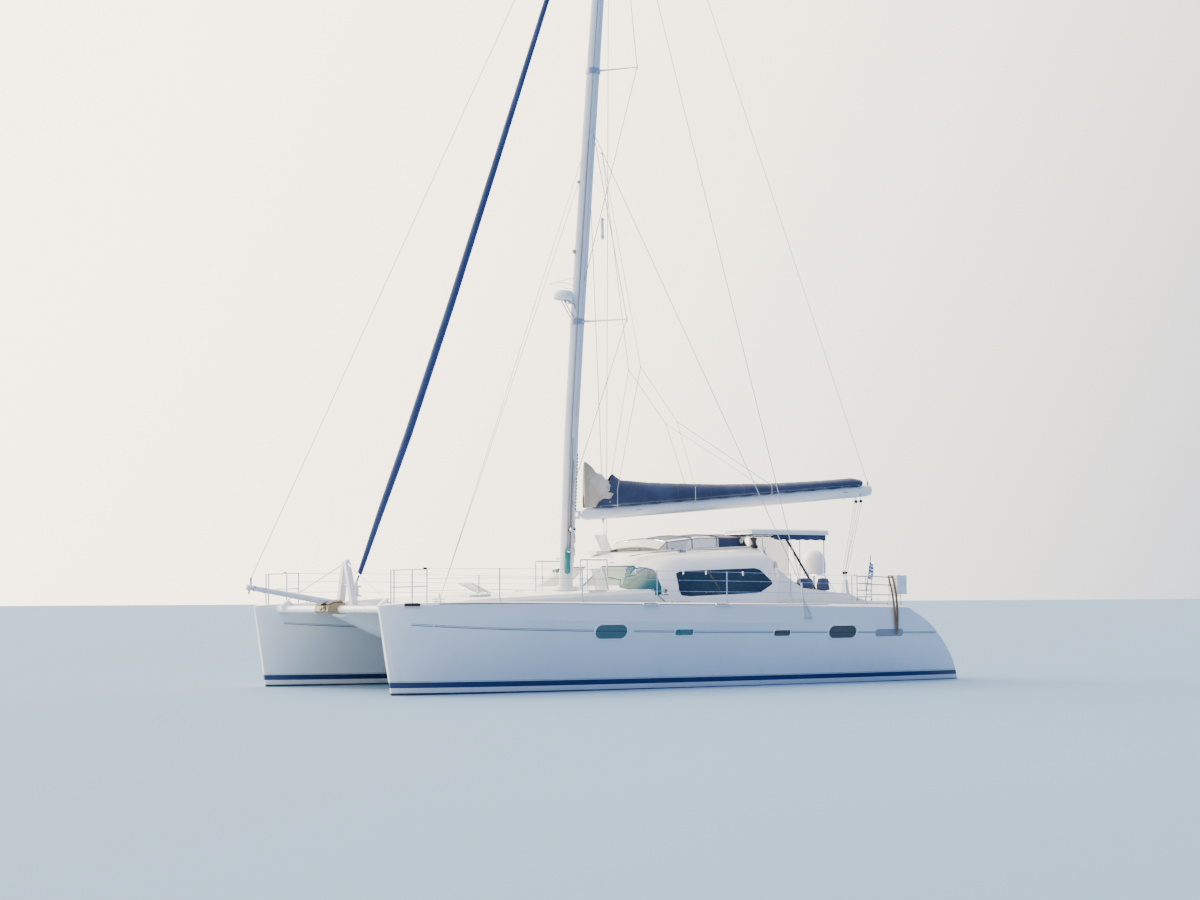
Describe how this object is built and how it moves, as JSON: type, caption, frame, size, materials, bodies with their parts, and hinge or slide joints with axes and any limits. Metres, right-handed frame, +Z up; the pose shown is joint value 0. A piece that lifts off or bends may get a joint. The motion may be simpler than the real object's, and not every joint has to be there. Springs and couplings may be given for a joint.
{
  "type": "sailing catamaran",
  "caption": "Cruising sailing catamaran with twin hulls, a glazed deckhouse, raked mast, rolled headsail and a boom carrying the stowed mainsail.",
  "frame": {"origin": "on the water plane, amidships on the centreline between the hulls", "axes": "+X to the bow, +Y to port, +Z up"},
  "size_m": [16.5219, 8.0136, 23.56],
  "materials": {
    "gelcoat": "gloss",
    "deck_gelcoat": "satin",
    "tinted_glass": "gloss",
    "dark_glass": "gloss",
    "acrylic": "gloss",
    "white_aluminium": "satin",
    "tan_deck": "matte",
    "netting": "matte",
    "stainless": "polished",
    "blue_canvas": "matte",
    "navy_canvas": "matte",
    "cream_canvas": "matte",
    "pale_rope": "matte",
    "navy_cushion": "matte",
    "beige_cushion": "matte",
    "grey_frame": "satin",
    "varnished_wood": "gloss",
    "dome_plastic": "satin",
    "flag_cloth": "matte",
    "antifouling": "matte",
    "bronze": "satin"
  },
  "bodies": {
    "boat": {"hull_port": "gelcoat", "hull_starboard": "gelcoat", "bridgedeck": "gelcoat", "deckhouse": "gelcoat", "windscreen_port": "tinted_glass", "windscreen_starboard": "tinted_glass", "side_window_port": "dark_glass", "side_window_starboard": "dark_glass", "foredeck": "deck_gelcoat", "cockpit": "deck_gelcoat", "crossbeam": "white_aluminium", "bow_walkway": "tan_deck", "bowsprit": "white_aluminium", "bow_striker": "white_aluminium", "trampoline_port": "netting", "trampoline_starboard": "netting", "mast": "white_aluminium", "spreaders_lower": "stainless", "spreaders_upper": "stainless", "shrouds_port": "stainless", "shrouds_starboard": "stainless", "rolled_headsail": "blue_canvas", "furler_drum": "white_aluminium", "inner_stay": "stainless", "sprit_halyard": "pale_rope", "rails_port": "stainless", "rails_starboard": "stainless", "mast_bar_port": "stainless", "mast_bar_starboard": "stainless", "spray_hood": "cream_canvas", "helm_roof": "gelcoat", "helm_console": "gelcoat", "helm_roof_frame": "stainless", "helm_seat": "navy_cushion", "saloon_settee": "beige_cushion", "saloon_table": "varnished_wood", "mainsheet_stand": "gelcoat", "satellite_dome": "dome_plastic", "flag_staff": "varnished_wood", "flag": "flag_cloth", "stern_case": "dome_plastic", "drive_leg_port": "antifouling", "drive_leg_starboard": "antifouling"},
    "boom_body": {"boom": "white_aluminium", "stowed_mainsail": "navy_canvas", "lazy_jacks": "pale_rope", "topping_lift": "pale_rope"},
    "rudder_port_body": {"rudder_port": "antifouling"},
    "rudder_starboard_body": {"rudder_starboard": "antifouling"},
    "wheel_body": {"steering_wheel": "stainless"},
    "propeller_port_body": {"propeller_port": "bronze"},
    "propeller_starboard_body": {"propeller_starboard": "bronze"},
    "door_body": {"saloon_door": "grey_frame"},
    "hatch_side_body": {"hatch_side": "acrylic"},
    "hatch_fore_body": {"hatch_fore": "acrylic"},
    "hatch_roof_body": {"hatch_roof": "acrylic"}
  },
  "joints": [
    {"name": "boom_swing", "type": "hinge", "parent": "boat", "child": "boom_body", "pos_m": [0.78, 0, 3.85], "axis": [-0.0831, 0, 0.9965], "range_deg": [-33.2, 50.8]},
    {"name": "rudder_port_turn", "type": "hinge", "parent": "boat", "child": "rudder_port_body", "pos_m": [-5.9, 3, -0.3], "axis": [0, 0, 1], "range_deg": [-35, 35]},
    {"name": "rudder_starboard_turn", "type": "hinge", "parent": "boat", "child": "rudder_starboard_body", "pos_m": [-5.9, -3, -0.3], "axis": [0, 0, 1], "range_deg": [-35, 35]},
    {"name": "wheel_turn", "type": "hinge", "parent": "boat", "child": "wheel_body", "pos_m": [-3.56, 1.22, 2.09], "axis": [1, 0, 0], "range_deg": [-530, 530]},
    {"name": "propeller_port_spin", "type": "hinge", "parent": "boat", "child": "propeller_port_body", "pos_m": [-4.64, 3, -0.72], "axis": [1, 0, 0], "continuous": true},
    {"name": "propeller_starboard_spin", "type": "hinge", "parent": "boat", "child": "propeller_starboard_body", "pos_m": [-4.64, -3, -0.72], "axis": [1, 0, 0], "continuous": true},
    {"name": "door_slide", "type": "slide", "parent": "boat", "child": "door_body", "axis": [0, -1, 0], "range_m": [0, 0.85]},
    {"name": "hatch_side_open", "type": "hinge", "parent": "boat", "child": "hatch_side_body", "pos_m": [1.95, 2.7, 2.089], "axis": [0, -1, 0], "range_deg": [-76, 24]},
    {"name": "hatch_fore_open", "type": "hinge", "parent": "boat", "child": "hatch_fore_body", "pos_m": [4, 1.25, 2.017], "axis": [0, -1, 0], "range_deg": [-24, 76]},
    {"name": "hatch_roof_open", "type": "hinge", "parent": "boat", "child": "hatch_roof_body", "pos_m": [-0.42, -0.7, 3.039], "axis": [0, -1, 0], "range_deg": [-64, 36]}
  ],
  "couplings": [
    {"joint": "rudder_starboard_turn", "follows": "rudder_port_turn", "ratio": 1},
    {"joint": "wheel_turn", "follows": "rudder_port_turn", "ratio": 15}
  ]
}
